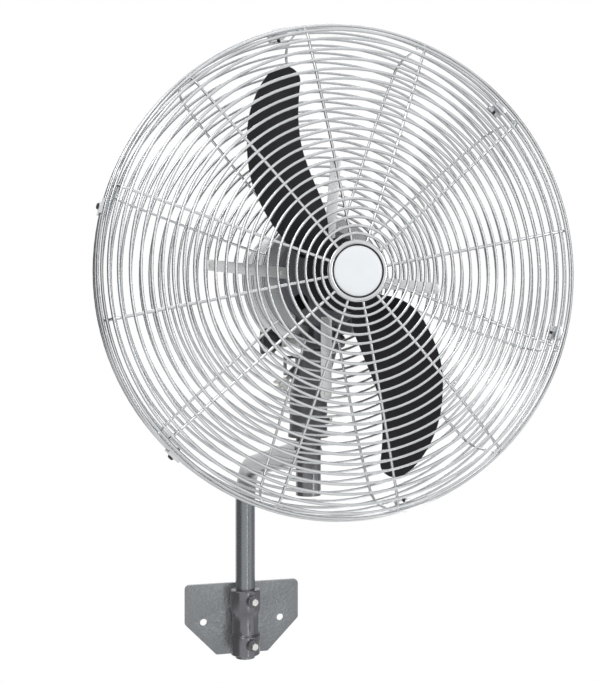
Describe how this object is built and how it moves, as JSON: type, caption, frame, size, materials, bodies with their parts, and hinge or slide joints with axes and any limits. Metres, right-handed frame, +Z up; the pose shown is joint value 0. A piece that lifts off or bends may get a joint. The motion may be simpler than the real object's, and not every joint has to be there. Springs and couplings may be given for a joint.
{
  "type": "wall mounted fan",
  "caption": "Industrial wall fan with a round wire guard and two curved blades on a cranked pipe arm that swings in a hexagonal wall bracket.",
  "frame": {"origin": "on the wall, on the back face of the wall plate, midway between its two bolt holes", "axes": "+Z up, +Y into the wall, +X to the right as seen by someone facing the fan"},
  "size_m": [0.7578, 0.8422, 1.1849],
  "materials": {
    "hammered_grey": "grey hammered enamel, half gloss",
    "dark_casting": "dark grey enamel on a casting",
    "motor_grey": "mid grey enamel, half gloss",
    "strap_grey": "light grey steel strap",
    "chrome": "bright plated wire",
    "zinc": "zinc plated steel",
    "black_plastic": "black moulded plastic",
    "blade_charcoal": "charcoal enamel",
    "cap_white": "white gloss",
    "laminations": "bare laminated steel",
    "copper": "varnished copper wire"
  },
  "bodies": {
    "bracket": {"wall_bracket": "hammered_grey", "sleeve_bolt_upper": "zinc", "sleeve_bolt_lower": "zinc"},
    "arm": {"arm_pipe": "hammered_grey", "spigot_tube": "hammered_grey", "spigot_collar": "dark_casting", "collar_set_screw": "zinc"},
    "neck": {"neck_casting": "dark_casting", "tilt_pivot_bolt": "zinc", "lock_bracket": "motor_grey"},
    "tilt_knob": {"tilt_knob": "black_plastic"},
    "pan_lock": {"pan_lock_bolt": "zinc"},
    "head": {"motor_front_bell": "motor_grey", "motor_shell": "motor_grey", "motor_rear_bell": "motor_grey", "stator_core": "laminations", "stator_winding_front": "copper", "stator_winding_rear": "copper", "bearing_front": "zinc", "bearing_rear": "zinc", "motor_tie_rod_1": "zinc", "motor_tie_rod_2": "zinc", "motor_tie_rod_3": "zinc", "motor_tie_rod_4": "zinc", "cable_gland": "black_plastic", "guard_spider": "strap_grey", "spider_screw_1": "zinc", "spider_screw_2": "zinc", "spider_screw_3": "zinc", "spider_screw_4": "zinc", "strap_clamp_1": "zinc", "strap_clamp_2": "zinc", "strap_clamp_3": "zinc", "strap_clamp_4": "zinc", "rear_guard": "chrome", "front_guard": "chrome", "guard_clip_1": "chrome", "guard_clip_2": "chrome", "guard_clip_3": "chrome", "guard_clip_4": "chrome", "guard_clip_5": "chrome", "guard_clip_6": "chrome", "clip_screw_1": "black_plastic", "clip_screw_2": "black_plastic", "clip_screw_3": "black_plastic", "clip_screw_4": "black_plastic", "clip_screw_5": "black_plastic", "clip_screw_6": "black_plastic", "cap_plate": "chrome", "front_cap": "cap_white"},
    "rotor": {"motor_shaft": "zinc", "rotor_core": "laminations", "blade_hub": "blade_charcoal", "blade_upper": "blade_charcoal", "blade_lower": "blade_charcoal", "hub_nut": "zinc"}
  },
  "joints": [
    {"name": "arm_swing", "type": "hinge", "parent": "bracket", "child": "arm", "pos_m": [0, -0.04, 0.006], "axis": [0, 0, 1], "range_deg": [-50, 50]},
    {"name": "neck_pan", "type": "hinge", "parent": "arm", "child": "neck", "pos_m": [0, -0.564, 0.531], "axis": [0, 0, 1], "range_deg": [-90, 90]},
    {"name": "head_tilt", "type": "hinge", "parent": "neck", "child": "head", "pos_m": [0, -0.644, 0.628], "axis": [1, 0, 0], "range_deg": [-20, 15]},
    {"name": "tilt_knob_turn", "type": "hinge", "parent": "neck", "child": "tilt_knob", "pos_m": [-0.086, -0.644, 0.628], "axis": [-1, 0, 0], "range_deg": [0, 270]},
    {"name": "pan_lock_turn", "type": "hinge", "parent": "neck", "child": "pan_lock", "pos_m": [-0.029, -0.5907, 0.5796], "axis": [-0.722, 0, -0.6919], "range_deg": [0, 270]},
    {"name": "rotor_spin", "type": "hinge", "parent": "head", "child": "rotor", "pos_m": [0, -0.76, 0.732], "axis": [0, -1, 0], "continuous": true}
  ]
}
